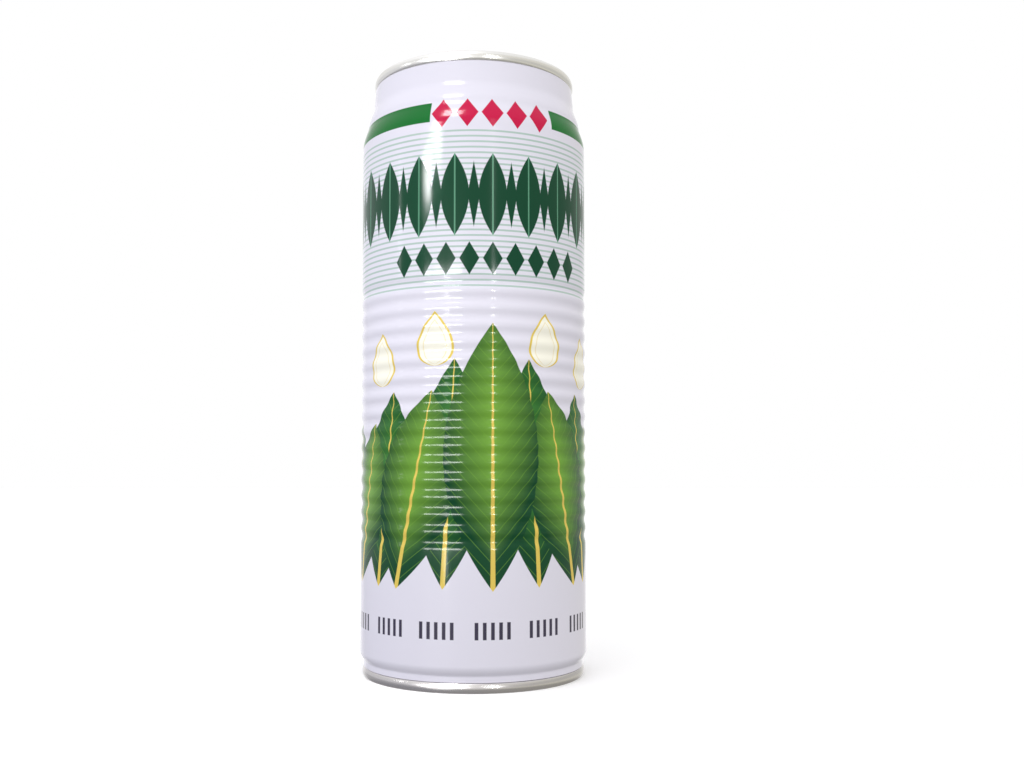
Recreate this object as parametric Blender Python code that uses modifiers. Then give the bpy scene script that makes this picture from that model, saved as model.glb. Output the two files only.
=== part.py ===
"""A sealed tall drinks can: a beaded tinplate body between two seamed ends, with a stay-on pull tab.

Blender 4.5, metres, +Z up. The origin is the centre of the base, and the front of the can faces -Y.
"""

import math

import bmesh
import bpy

# Driving dimensions, in metres
CAN_HEIGHT = 0.175
BODY_RADIUS = 0.0331
TOP_SEAM_RADIUS = 0.02975
BOTTOM_SEAM_RADIUS = 0.03245
SEAM_HEIGHT = 0.0028
SEAM_WIDTH = 0.0015
SHEET = 0.00035
GAP = 0.0003
AROUND = 48

# The rolled beads that stiffen the body
BEAD_COUNT = 16
BEAD_PITCH = 0.00466
BEAD_DEPTH = 0.00038
FIRST_GROOVE_HEIGHT = 0.1102

# The neck steps in twice towards the smaller top end
NECK_FOOT = 0.1548
LEDGE_RADIUS = 0.0316
LEDGE_BOTTOM = 0.1599
LEDGE_TOP = 0.1612
COLLAR_FOOT = 0.1656
COLLAR_FOOT_RADIUS = 0.03
COLLAR_TOP_RADIUS = 0.02945
SHOULDER_STEPS = 5
UPPER_ROUNDING = 1.15
LOWER_ROUNDING = 1.5

# The body narrows again just above the bottom seam
FOOT_CURVE_TOP = 0.0074
FOOT_CURVE_BOTTOM = 0.0046
FOOT_RADIUS = 0.03195

# The ends, measured inwards from each seam's outer edge
COUNTERSINK_DEPTH = 0.0065
COUNTERSINK_WIDTH = 0.001
CHUCK_WALL_LEAN = 0.0005
PANEL_RISE = 0.002
PANEL_CORNER = 0.0004
BASE_STEP_RADIUS = 0.0205
BASE_STEP_DEPTH = 0.0006

# The rivet is drawn up from the top end's own panel
RIVET_STEM_RADIUS = 0.0014
RIVET_HEAD_RADIUS = 0.0025
RIVET_HEAD_THICKNESS = 0.0004

# The tab: its nose points to the mouth at the front, its heel lies towards the back
TAB_HALF_WIDTH = 0.008
TAB_NOSE = 0.0072
TAB_HEEL = 0.0174
TAB_THICKNESS = 0.0012
TAB_LIFT = 0.00035
TAB_WEB = 0.00045
TAB_EDGE = 0.0004
TAB_POCKET_RADIUS = 0.0046
FINGER_HOLE_Y = 0.0112
FINGER_HOLE_HALF_WIDTH = 0.0052
FINGER_HOLE_HALF_LENGTH = 0.0036

PANEL_TOP = CAN_HEIGHT - COUNTERSINK_DEPTH + PANEL_RISE


def clear_scene():
    for old in list(bpy.data.objects):
        bpy.data.objects.remove(old, do_unlink=True)


def add_collection(name, hidden=False):
    collection = bpy.data.collections.new(name)
    collection.hide_render = hidden
    bpy.context.scene.collection.children.link(collection)
    return collection


def add_material(name, colour, roughness, metallic):
    material = bpy.data.materials.new(name)
    material.use_nodes = True
    shader = material.node_tree.nodes["Principled BSDF"]
    shader.inputs["Base Color"].default_value = (*colour, 1.0)
    shader.inputs["Roughness"].default_value = roughness
    shader.inputs["Metallic"].default_value = metallic
    return material


def smooth(mesh, angle=math.radians(40)):
    mesh.shade_smooth()
    mesh.set_sharp_from_angle(angle=angle)


def turned(name, profile, collection, material):
    """A solid turned about Z from (radius, height) points, which run from the axis over the top and down the outside."""
    mesh = bpy.data.meshes.new(name)
    points = [(radius, 0.0, height) for radius, height in profile]
    mesh.from_pydata(points, [(i, i + 1) for i in range(len(points) - 1)], [])
    piece = bpy.data.objects.new(name, mesh)
    collection.objects.link(piece)
    mesh.materials.append(material)
    screw = piece.modifiers.new("Turn", "SCREW")
    screw.angle = math.tau
    screw.steps = AROUND
    screw.render_steps = AROUND
    screw.use_merge_vertices = True
    screw.merge_threshold = 0.00001
    screw.use_smooth_shade = True
    return piece


def shoulder(top_radius, top, foot_radius, foot, rounding):
    """A necked shoulder that leaves its top at a slope and rounds out into the wall at its foot."""
    drop = top - foot
    widening = foot_radius - top_radius
    points = []
    for step in range(SHOULDER_STEPS + 1):
        t = step / SHOULDER_STEPS
        points.append((foot_radius - widening * (1 - t) ** rounding, top - drop * t))
    return points


def beads():
    """Crest and groove in turn, down the body. Each groove is pressed in from the wall."""
    points = []
    for index in range(BEAD_COUNT):
        groove = FIRST_GROOVE_HEIGHT - index * BEAD_PITCH
        points.append((BODY_RADIUS, groove + BEAD_PITCH / 2))
        points.append((BODY_RADIUS - BEAD_DEPTH, groove))
    points.append((BODY_RADIUS, groove - BEAD_PITCH / 2))
    return points


def foot_curve():
    """The wall's inward curve above the bottom seam, from top to bottom."""
    points = []
    for step in range(SHOULDER_STEPS + 1):
        t = step / SHOULDER_STEPS
        radius = BODY_RADIUS - (BODY_RADIUS - FOOT_RADIUS) * t**2
        points.append((radius, FOOT_CURVE_TOP + (FOOT_CURVE_BOTTOM - FOOT_CURVE_TOP) * t))
    return points


def end_sheet(seam_radius, offset=0.0):
    """The sheet of an end inside its seam, as (radius, depth below the seam's outer edge) from the axis outwards.

    The offset moves the line away from the outside air, through the sheet towards the drink.
    """
    wall = seam_radius - SEAM_WIDTH
    wall_foot = wall - CHUCK_WALL_LEAN
    panel = wall_foot - COUNTERSINK_WIDTH
    panel_depth = COUNTERSINK_DEPTH - PANEL_RISE
    corner = PANEL_CORNER
    return [
        (panel - corner - offset, panel_depth + offset),
        (panel - offset, panel_depth + corner + offset),
        (panel - offset, COUNTERSINK_DEPTH - corner + offset),
        (panel + corner - offset / 2, COUNTERSINK_DEPTH + offset),
        (wall_foot - corner + offset / 2, COUNTERSINK_DEPTH + offset),
        (wall_foot + offset, COUNTERSINK_DEPTH - corner + offset),
    ]


def seam_ring(seam_radius):
    """The double seam, as (radius, depth) from the top of the chuck wall over the edge and down the outside."""
    inner = seam_radius - SEAM_WIDTH
    return [
        (inner, 0.0006),
        (inner + 0.00035, 0.0),
        (seam_radius - 0.00035, 0.0),
        (seam_radius, 0.0005),
        (seam_radius, SEAM_HEIGHT - 0.0005),
        (seam_radius - 0.0002, SEAM_HEIGHT),
        (inner + SHEET, SEAM_HEIGHT),
    ]


def top_profile():
    head = PANEL_TOP + TAB_LIFT + TAB_WEB + GAP
    head_top = head + RIVET_HEAD_THICKNESS
    rivet = [
        (0.0, head_top),
        (RIVET_HEAD_RADIUS - 0.0002, head_top),
        (RIVET_HEAD_RADIUS, head_top - RIVET_HEAD_THICKNESS / 2),
        (RIVET_HEAD_RADIUS, head),
        (RIVET_STEM_RADIUS, head),
        (RIVET_STEM_RADIUS, PANEL_TOP),
    ]
    outside = end_sheet(TOP_SEAM_RADIUS) + seam_ring(TOP_SEAM_RADIUS)
    inside = end_sheet(TOP_SEAM_RADIUS, SHEET)
    sheet = [(radius, CAN_HEIGHT - depth) for radius, depth in outside + inside[::-1]]
    return rivet + sheet + [(0.0, PANEL_TOP - SHEET)]


def base_step(height):
    """The ring where the base panel's centre is pressed up by a small step, from the axis outwards."""
    return [
        (0.0, height + BASE_STEP_DEPTH),
        (BASE_STEP_RADIUS - BASE_STEP_DEPTH, height + BASE_STEP_DEPTH),
        (BASE_STEP_RADIUS, height),
    ]


def bottom_profile():
    panel = COUNTERSINK_DEPTH - PANEL_RISE
    outside = end_sheet(BOTTOM_SEAM_RADIUS) + seam_ring(BOTTOM_SEAM_RADIUS)
    inside = end_sheet(BOTTOM_SEAM_RADIUS, SHEET)
    return base_step(panel + SHEET) + inside + outside[::-1] + base_step(panel)[::-1]


def body_profile():
    """The filled body. It stops a gap short of both ends and of both seams."""
    lid = end_sheet(TOP_SEAM_RADIUS, SHEET + GAP)
    over = [(0.0, PANEL_TOP - SHEET - GAP)]
    over += [(radius, CAN_HEIGHT - depth) for radius, depth in lid]
    lid_wall = TOP_SEAM_RADIUS - SEAM_WIDTH + SHEET + GAP
    rim = CAN_HEIGHT - SEAM_HEIGHT - GAP
    over += [(lid_wall, rim), (COLLAR_TOP_RADIUS, rim)]
    base = end_sheet(BOTTOM_SEAM_RADIUS, SHEET + GAP)
    base_wall = BOTTOM_SEAM_RADIUS - SEAM_WIDTH + SHEET + GAP
    under = [(FOOT_RADIUS, SEAM_HEIGHT + GAP), (base_wall, SEAM_HEIGHT + GAP)]
    under += base[::-1]
    under += base_step(COUNTERSINK_DEPTH - PANEL_RISE + SHEET + GAP)[::-1]
    upper = shoulder(COLLAR_FOOT_RADIUS, COLLAR_FOOT, LEDGE_RADIUS, LEDGE_TOP, UPPER_ROUNDING)
    lower = shoulder(LEDGE_RADIUS, LEDGE_BOTTOM, BODY_RADIUS, NECK_FOOT, LOWER_ROUNDING)
    return over + upper + lower + beads() + foot_curve() + under


def rounded_outline(half_width, nose, heel, power, count):
    """A closed outline about the rivet, rounder at the nose than at the heel."""
    points = []
    for step in range(count):
        angle = math.tau * step / count
        across = math.copysign(abs(math.cos(angle)) ** (2 / power), math.cos(angle))
        along = math.copysign(abs(math.sin(angle)) ** (2 / power), math.sin(angle))
        reach = heel if along > 0 else nose
        points.append((half_width * across, reach * along))
    return points


def flat_curve(name, outlines, thickness, edge):
    """A flat plate between closed outlines, with its edges rounded."""
    curve = bpy.data.curves.new(name, "CURVE")
    curve.dimensions = "2D"
    curve.fill_mode = "BOTH"
    curve.extrude = thickness / 2 - edge
    curve.bevel_depth = edge
    curve.bevel_resolution = 1
    curve.offset = -edge
    for outline in outlines:
        spline = curve.splines.new("POLY")
        spline.points.add(len(outline) - 1)
        for point, (x, y) in zip(spline.points, outline):
            point.co = (x, y, 0.0, 1.0)
        spline.use_cyclic_u = True
    return curve


def mesh_piece(curve, name, place, collection):
    """Makes a mesh object of a curve, welds its caps, and removes the curve."""
    guide = bpy.data.objects.new(name + "_guide", curve)
    collection.objects.link(guide)
    guide.location = place
    bpy.context.view_layer.update()
    graph = bpy.context.evaluated_depsgraph_get()
    mesh = bpy.data.meshes.new_from_object(guide.evaluated_get(graph))
    work = bmesh.new()
    work.from_mesh(mesh)
    bmesh.ops.remove_doubles(work, verts=work.verts, dist=0.000005)
    bmesh.ops.recalc_face_normals(work, faces=work.faces)
    work.to_mesh(mesh)
    work.free()
    piece = bpy.data.objects.new(name, mesh)
    piece.matrix_world = guide.matrix_world.copy()
    collection.objects.link(piece)
    bpy.data.objects.remove(guide, do_unlink=True)
    return piece


def round_cutter(name, radius, foot, height, segments, cutters):
    mesh = bpy.data.meshes.new(name)
    work = bmesh.new()
    bmesh.ops.create_cone(
        work, cap_ends=True, segments=segments, radius1=radius, radius2=radius, depth=height
    )
    work.to_mesh(mesh)
    work.free()
    cutter = bpy.data.objects.new(name, mesh)
    cutter.location = (0.0, 0.0, foot + height / 2)
    cutter.hide_render = True
    cutter.display_type = "WIRE"
    cutters.objects.link(cutter)
    return cutter


def cut(piece, cutter):
    boolean = piece.modifiers.new("Cut " + cutter.name, "BOOLEAN")
    boolean.operation = "DIFFERENCE"
    boolean.solver = "EXACT"
    boolean.object = cutter


def build_body(parts):
    lacquer = add_material("white lacquered tinplate", (0.78, 0.77, 0.83), 0.25, 0.0)
    return turned("can_body", body_profile(), parts, lacquer)


def build_top_end(parts):
    tinplate = add_material("bright end stock", (0.72, 0.72, 0.7), 0.3, 1.0)
    return turned("top_end", top_profile(), parts, tinplate)


def build_bottom_end(parts):
    tinplate = add_material("tinplate", (0.62, 0.61, 0.58), 0.35, 1.0)
    return turned("bottom_end", bottom_profile(), parts, tinplate)


def build_tab(parts, cutters):
    """The tab: a plate with curled edges, a finger hole at the heel and a thin web round the rivet."""
    outline = rounded_outline(TAB_HALF_WIDTH, TAB_NOSE, TAB_HEEL, 2.5, 40)
    hole = rounded_outline(FINGER_HOLE_HALF_WIDTH, FINGER_HOLE_HALF_LENGTH, FINGER_HOLE_HALF_LENGTH, 2.5, 24)
    hole = [(x, y + FINGER_HOLE_Y) for x, y in hole][::-1]
    curve = flat_curve("tab_outline", [outline, hole], TAB_THICKNESS, TAB_EDGE)
    foot = PANEL_TOP + TAB_LIFT
    tab = mesh_piece(curve, "pull_tab", (0.0, 0.0, foot + TAB_THICKNESS / 2), parts)
    tab.data.materials.append(add_material("tab stock", (0.75, 0.75, 0.74), 0.28, 1.0))
    pocket = round_cutter("tab_pocket", TAB_POCKET_RADIUS, foot + TAB_WEB, TAB_THICKNESS, 28, cutters)
    rivet_hole = round_cutter("rivet_hole", RIVET_STEM_RADIUS + GAP, foot - GAP, TAB_THICKNESS, 16, cutters)
    cut(tab, pocket)
    cut(tab, rivet_hole)
    return tab


def main():
    clear_scene()
    parts = add_collection("drinks can")
    cutters = add_collection("cutters", hidden=True)
    turned_parts = [build_body(parts), build_top_end(parts), build_bottom_end(parts)]
    tab = build_tab(parts, cutters)
    for piece in turned_parts + [tab]:
        smooth(piece.data)


main()
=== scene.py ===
# %% [markdown]
# # A tall drinks can in lacquered tinplate
# This lesson dresses a sealed steel drinks can: a beaded and printed wall between two
# seamed ends, with a stay-on tab. The CAD model gives every size and stays the fixed
# frame. Blender only adds the forms that a press and a seaming roll leave, and the finish.

import math

import bpy
import numpy as np
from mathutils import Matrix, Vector


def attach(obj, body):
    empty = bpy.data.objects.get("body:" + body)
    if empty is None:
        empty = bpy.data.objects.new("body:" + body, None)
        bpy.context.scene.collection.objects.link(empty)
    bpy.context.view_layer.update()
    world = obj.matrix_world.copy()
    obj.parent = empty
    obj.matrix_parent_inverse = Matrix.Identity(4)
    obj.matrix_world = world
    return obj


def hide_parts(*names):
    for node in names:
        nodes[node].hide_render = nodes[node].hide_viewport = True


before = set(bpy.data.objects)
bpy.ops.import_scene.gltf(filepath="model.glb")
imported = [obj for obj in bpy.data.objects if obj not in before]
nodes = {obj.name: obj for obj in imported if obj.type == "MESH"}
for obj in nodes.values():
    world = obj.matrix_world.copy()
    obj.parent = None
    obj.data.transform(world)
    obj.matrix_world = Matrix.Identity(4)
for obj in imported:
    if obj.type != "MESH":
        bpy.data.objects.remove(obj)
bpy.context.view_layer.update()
print("nodes:", sorted(nodes))

# %% [markdown]
# A can is drawn in millimetres, and Blender works in metres, so every size below is
# written in millimetres and turned to metres in one place. The camera comes next, because
# what it sees decides how much detail each surface earns. It stands close and low, and
# looks slightly up, which is why the can's bands bow upwards at the top of the picture.

# %% Set the camera
MM = 0.001
IMAGE_WIDTH = 1024
IMAGE_HEIGHT = 768
FOCAL_PIXELS = 1081.6
CENTRE_PIXEL = (491.55, 415.0)
CAMERA_DISTANCE = 322.16
CAMERA_HEIGHT = 59.58
LOOK_UP = math.radians(2.87)
LOOK_RIGHT = math.radians(0.95)

camera_data = bpy.data.cameras.new("camera")
camera_data.sensor_width = 36.0
camera_data.lens = FOCAL_PIXELS / IMAGE_WIDTH * camera_data.sensor_width
camera_data.shift_x = (IMAGE_WIDTH / 2 - CENTRE_PIXEL[0]) / IMAGE_WIDTH
camera_data.shift_y = (CENTRE_PIXEL[1] - IMAGE_HEIGHT / 2) / IMAGE_WIDTH
camera_data.clip_start = 0.01
camera = bpy.data.objects.new("camera", camera_data)
bpy.context.scene.collection.objects.link(camera)
camera.location = (0.0, -CAMERA_DISTANCE * MM, CAMERA_HEIGHT * MM)
camera.rotation_euler = (math.radians(90) + LOOK_UP, 0.0, -LOOK_RIGHT)
bpy.context.scene.camera = camera
print("lens in mm:", round(camera_data.lens, 2), "shift:", round(camera_data.shift_y, 4))

# %% [markdown]
# The wall, both ends and the side seam are all turned shapes. In the factory they are
# rolled and pressed round the can's axis, so the way to draw them is the lathe's: one
# outline, point by point, spun round the axis. The outline starts as a plane merged to a
# single point, and each further point is extruded from the last one.

# %% Draw an outline and spin it
MERGE_GAP = 0.002
SHARP_ANGLE = 38


def select_only(piece):
    """Operators act on all that is selected, and loading leaves the CAD nodes selected."""
    bpy.ops.object.select_all(action="DESELECT")
    piece.select_set(True)
    bpy.context.view_layer.objects.active = piece


def draw_outline(name, outline, bearing=0.0):
    """Draws (radius, height) points in mm as a chain of edges, at a bearing from the X axis."""
    bpy.ops.object.select_all(action="DESELECT")
    bpy.ops.mesh.primitive_plane_add(size=MM)
    piece = bpy.context.active_object
    piece.name = name
    piece.data.name = name
    ahead = Vector((math.cos(bearing), math.sin(bearing), 0.0))
    places = [ahead * radius * MM + Vector((0.0, 0.0, height * MM)) for radius, height in outline]
    bpy.ops.object.mode_set(mode="EDIT")
    bpy.ops.mesh.select_mode(type="VERT")
    bpy.ops.mesh.select_all(action="SELECT")
    bpy.ops.mesh.merge(type="CENTER")
    bpy.ops.transform.translate(value=places[0])
    for here, there in zip(places, places[1:]):
        bpy.ops.mesh.extrude_region_move(TRANSFORM_OT_translate={"value": there - here})
    bpy.ops.object.mode_set(mode="OBJECT")
    return piece


def turn(name, outline, around):
    """A closed solid of revolution. Its outline runs from the axis over the top and back."""
    piece = draw_outline(name, outline)
    bpy.ops.object.mode_set(mode="EDIT")
    bpy.ops.mesh.select_all(action="SELECT")
    bpy.ops.mesh.spin(steps=around, angle=math.tau, center=(0, 0, 0), axis=(0, 0, 1))
    bpy.ops.mesh.select_all(action="SELECT")
    bpy.ops.mesh.remove_doubles(threshold=MERGE_GAP * MM)
    bpy.ops.mesh.normals_make_consistent(inside=False)
    bpy.ops.object.mode_set(mode="OBJECT")
    bpy.ops.object.shade_smooth_by_angle(angle=math.radians(SHARP_ANGLE))
    print(name, "points", len(piece.data.vertices), "faces", len(piece.data.polygons))
    return piece


# %% [markdown]
# The wall is one sheet of tinplate, rolled and welded to a tube. Rollers press sixteen
# beads into it, so that a thin wall can carry a load of cans. The neck steps in twice to
# take a smaller top end, and the foot steps in once above the bottom seam. The radius is
# worked out at each height and then averaged over a short length, because rollers can't
# leave a sharp corner in sheet.

# %% Sizes of the wall
WALL_RADIUS = 33.1
WALL_TOP = 172.13
WALL_FOOT = 2.88
COLLAR_TOP_RADIUS = 29.45
COLLAR_FOOT = 165.6
COLLAR_FOOT_RADIUS = 30.0
LEDGE_TOP = 161.2
LEDGE_BOTTOM = 159.9
LEDGE_RADIUS = 31.6
NECK_FOOT = 154.8
UPPER_ROUNDING = 1.15
LOWER_ROUNDING = 1.5
BEAD_COUNT = 16
BEAD_PITCH = 4.66
BEAD_DEPTH = 0.38
BEAD_FLATNESS = 0.7
FIRST_GROOVE = 110.2
FOOT_CURVE_TOP = 7.2
FOOT_CURVE_BOTTOM = 4.6
FOOT_RADIUS = 31.95
FOOT_FLARE_RADIUS = 32.1
NECK_ROUNDING = 0.9
FOOT_ROUNDING = 0.25


def shoulder_radius(height, top, top_radius, foot, foot_radius, rounding):
    """A shoulder leaves its top at a slope and rounds out into the wall at its foot."""
    share = (height - foot) / (top - foot)
    return foot_radius - (foot_radius - top_radius) * share**rounding


def bead_depth(height):
    """A rolled bead has steep sides between a rounded crest and a rounded groove."""
    turns = (FIRST_GROOVE - height) / BEAD_PITCH
    if not -0.5 < turns < BEAD_COUNT - 0.5:
        return 0.0
    wave = math.tanh(BEAD_FLATNESS * math.cos(math.tau * turns)) / math.tanh(BEAD_FLATNESS)
    return BEAD_DEPTH * (1 + wave) / 2


def rolled_radius(height):
    """The wall's radius before the corners are rounded."""
    if height > COLLAR_FOOT:
        share = (height - COLLAR_FOOT) / (WALL_TOP - COLLAR_FOOT)
        return COLLAR_FOOT_RADIUS + (COLLAR_TOP_RADIUS - COLLAR_FOOT_RADIUS) * min(share, 1.0)
    if height > LEDGE_TOP:
        upper = (COLLAR_FOOT, COLLAR_FOOT_RADIUS, LEDGE_TOP, LEDGE_RADIUS)
        return shoulder_radius(height, *upper, UPPER_ROUNDING)
    if height > LEDGE_BOTTOM:
        return LEDGE_RADIUS
    if height > NECK_FOOT:
        lower = (LEDGE_BOTTOM, LEDGE_RADIUS, NECK_FOOT, WALL_RADIUS)
        return shoulder_radius(height, *lower, LOWER_ROUNDING)
    if height > FOOT_CURVE_TOP:
        return WALL_RADIUS - bead_depth(height)
    if height > FOOT_CURVE_BOTTOM:
        share = (FOOT_CURVE_TOP - height) / (FOOT_CURVE_TOP - FOOT_CURVE_BOTTOM)
        return WALL_RADIUS - (WALL_RADIUS - FOOT_RADIUS) * share**2
    share = (FOOT_CURVE_BOTTOM - height) / (FOOT_CURVE_BOTTOM - WALL_FOOT)
    return FOOT_RADIUS + (FOOT_FLARE_RADIUS - FOOT_RADIUS) * min(share, 1.0)


def wall_radius(height):
    """The radius with its corners rounded off, as rollers leave them."""
    beaded = abs(height - FIRST_GROOVE + BEAD_PITCH * (BEAD_COUNT - 1) / 2)
    if beaded < BEAD_PITCH * (BEAD_COUNT + 1) / 2:
        return rolled_radius(height)
    rounding = NECK_ROUNDING if height > FIRST_GROOVE else FOOT_ROUNDING
    near = [rolled_radius(height + rounding * step / 4) for step in range(-4, 5)]
    return sum(near) / len(near)


# %% [markdown]
# The outline needs more points where the wall bends more. So its heights are close
# together on the neck, the beads and the foot, and far apart on the plain lengths.

# %% Space the points of the wall
NECK_POINTS = 66
PLAIN_POINTS = 10
POINTS_PER_BEAD = 11
LOW_POINTS = 6
FOOT_POINTS = 28
NECK_MARGIN = 1.5
FOOT_MARGIN = 1.0


def heights_between(top, bottom, count):
    return [top + (bottom - top) * step / count for step in range(count)]


bead_top = FIRST_GROOVE + BEAD_PITCH / 2
bead_bottom = bead_top - BEAD_PITCH * BEAD_COUNT
neck_end = NECK_FOOT - NECK_MARGIN
foot_start = FOOT_CURVE_TOP + FOOT_MARGIN
wall_heights = heights_between(WALL_TOP, neck_end, NECK_POINTS)
wall_heights += heights_between(neck_end, bead_top, PLAIN_POINTS)
wall_heights += heights_between(bead_top, bead_bottom, POINTS_PER_BEAD * BEAD_COUNT)
wall_heights += heights_between(bead_bottom, foot_start, LOW_POINTS)
wall_heights += heights_between(foot_start, WALL_FOOT, FOOT_POINTS) + [WALL_FOOT]
wall_outline = [(wall_radius(height), height) for height in wall_heights]
print("wall outline:", len(wall_outline), "points, beads from", bead_top, "to", bead_bottom)

# %% [markdown]
# The can is sealed and full, so the CAD body is one filled solid, and the piece that
# stands for it is filled too. Its hidden top lies under the lid and its hidden base over
# the bottom end, each a little clear of the sheet that covers it.

# %% Turn the wall
UNDER_LID = 167.6
LID_SKIRT = 28.9
OVER_BASE = 7.2
BASE_SKIRT = 31.55
WALL_SIDES = 180

body_outline = [(0.0, UNDER_LID), (LID_SKIRT, UNDER_LID), (LID_SKIRT, WALL_TOP)]
body_outline += wall_outline
body_outline += [(BASE_SKIRT, WALL_FOOT), (BASE_SKIRT, OVER_BASE), (0.0, OVER_BASE)]
wall = turn("printed_wall", body_outline, WALL_SIDES)
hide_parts("can_body")
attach(wall, "root")

# %% [markdown]
# The print is laid out on the flat sheet before it is rolled, so the wall gets a map that
# unrolls it again: the way round the can runs across the map, and the way down the wall
# runs up it.

# %% Unroll the wall
UNROLL_MARGIN = 0.03
SAME_PLACE = 0.02
ON_AXIS = 0.01
HIDDEN_PLACES = [
    (0.0, UNDER_LID, 1.0),
    (LID_SKIRT, UNDER_LID, 1 - 0.5 * UNROLL_MARGIN),
    (LID_SKIRT, WALL_TOP, 1 - 0.8 * UNROLL_MARGIN),
    (BASE_SKIRT, WALL_FOOT, 0.8 * UNROLL_MARGIN),
    (BASE_SKIRT, OVER_BASE, 0.5 * UNROLL_MARGIN),
    (0.0, OVER_BASE, 0.0),
]


def place_up_map(radius, height):
    """How far up the map a place lies. The hidden ends share narrow margins."""
    for hidden_radius, hidden_height, up in HIDDEN_PLACES:
        if math.dist((radius, height), (hidden_radius, hidden_height)) < SAME_PLACE:
            return up
    up = (height - WALL_FOOT) / (WALL_TOP - WALL_FOOT)
    return UNROLL_MARGIN + (1 - 2 * UNROLL_MARGIN) * up


def unroll(piece):
    """Lays the wall out flat, with the cut down its left side."""
    mesh = piece.data
    layer = mesh.uv_layers.new(name="OFBake")
    for face in mesh.polygons:
        corners = [mesh.vertices[index].co for index in face.vertices]
        middle = sum(corners, Vector()) / len(corners)
        bearing = math.atan2(middle.y, middle.x)
        for loop, place in zip(face.loop_indices, corners):
            radius = math.hypot(place.x, place.y) / MM
            angle = math.atan2(place.y, place.x) if radius > ON_AXIS else bearing
            angle += math.tau * round((bearing - angle) / math.tau)
            layer.data[loop].uv = (0.5 + angle / math.tau, place_up_map(radius, place.z / MM))
    mesh.uv_layers.active = layer


unroll(wall)
print("map rows from", round(place_up_map(WALL_RADIUS, WALL_FOOT), 3), "to", 1 - UNROLL_MARGIN)

# %% [markdown]
# A stay-on-tab end starts as a flat disc. Presses raise its centre panel, sink a
# countersink groove round it, and flange its rim, which a seaming roll then folds round
# the wall's flange. The folded double seam is the bright ring at each end of the can. Its
# rounded edges catch the light as lines, so they are arcs here and not chamfers.

# %% Outlines of the seams
TOP_SEAM_RADIUS = 29.75
BOTTOM_SEAM_RADIUS = 32.45
SEAM_HEIGHT = 2.8
SEAM_WIDTH = 1.5
SEAM_CORNER = 0.45
SEAM_BULGE = 25
SHEET = 0.3
CHUCK_WALL_LEAN = 0.5
COUNTERSINK_DEPTH = 6.5
COUNTERSINK_WIDTH = 1.0
PANEL_RISE = 2.0
PANEL_CORNER = 0.45


def arc(middle, radius, start, end, steps):
    """Points on part of a circle in the outline's plane, angles in degrees from outwards."""
    points = []
    for step in range(steps + 1):
        angle = math.radians(start + (end - start) * step / steps)
        points.append((middle[0] + radius * math.cos(angle), middle[1] + radius * math.sin(angle)))
    return points


def seam_outline(seam_radius):
    """The double seam from its chuck wall over the edge and down, as (radius, -depth)."""
    inner = seam_radius - SEAM_WIDTH
    rise = math.sin(math.radians(SEAM_BULGE))
    face_radius = (SEAM_HEIGHT / 2 - SEAM_CORNER * (1 - rise)) / rise
    middle = (seam_radius - face_radius, -SEAM_HEIGHT / 2)
    reach = (face_radius - SEAM_CORNER) * math.cos(math.radians(SEAM_BULGE))
    corner = middle[0] + reach
    outline = arc((inner + SEAM_CORNER, -SEAM_CORNER), SEAM_CORNER, 180, 90, 5)
    outline += arc((corner, -SEAM_CORNER), SEAM_CORNER, 90, SEAM_BULGE, 6)
    outline += arc(middle, face_radius, SEAM_BULGE, -SEAM_BULGE, 10)[1:-1]
    outline += arc((corner, SEAM_CORNER - SEAM_HEIGHT), SEAM_CORNER, -SEAM_BULGE, -90, 6)
    outline.append((inner + SHEET, -SEAM_HEIGHT))
    return outline


def sink_outline(seam_radius):
    """The rounded corner of the panel, the countersink and the foot of the chuck wall."""
    wall_foot = seam_radius - SEAM_WIDTH - CHUCK_WALL_LEAN
    groove = COUNTERSINK_WIDTH / 2
    panel = wall_foot - COUNTERSINK_WIDTH
    panel_depth = COUNTERSINK_DEPTH - PANEL_RISE
    outline = arc((panel - PANEL_CORNER, -panel_depth - PANEL_CORNER), PANEL_CORNER, 90, 0, 5)
    outline += arc((panel + groove, groove - COUNTERSINK_DEPTH), groove, 180, 360, 10)
    return outline


def lower_face(outline, sheet):
    """The other face of a sheet whose outline is given, moved by its thickness."""
    moved = []
    for index, (radius, height) in enumerate(outline):
        before = outline[max(index - 1, 0)]
        after = outline[min(index + 1, len(outline) - 1)]
        along = (after[0] - before[0], after[1] - before[1])
        length = math.hypot(*along)
        moved.append((radius + sheet * along[1] / length, height - sheet * along[0] / length))
    return moved


print("seam outline:", len(seam_outline(TOP_SEAM_RADIUS)), "points")

# %% [markdown]
# The lid is one sheet, rivet and all, so one outline goes from the rivet's head over the
# panel, the countersink and the seam, and back along the underside. The rivet's head is
# cupped by the punch that spreads it. The panel is flat at first and gets fine rings,
# because the press needs points to move.

# %% Turn the lid
CAN_HEIGHT = 175.0
PANEL_TOP = CAN_HEIGHT - COUNTERSINK_DEPTH + PANEL_RISE
RIVET_STEM_RADIUS = 1.4
RIVET_HEAD_RADIUS = 2.5
RIVET_HEAD_FOOT = PANEL_TOP + 1.1
RIVET_HEAD_TOP = PANEL_TOP + 1.5
RIVET_CUP = [(0.0, 0.25), (0.5, 0.24), (1.0, 0.12), (1.4, 0.01), (1.7, 0.0)]
RIVET_EDGE = 0.2
PANEL_RING = 0.3
UNDERSIDE_RING = 0.8
LID_SIDES = 288

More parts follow.
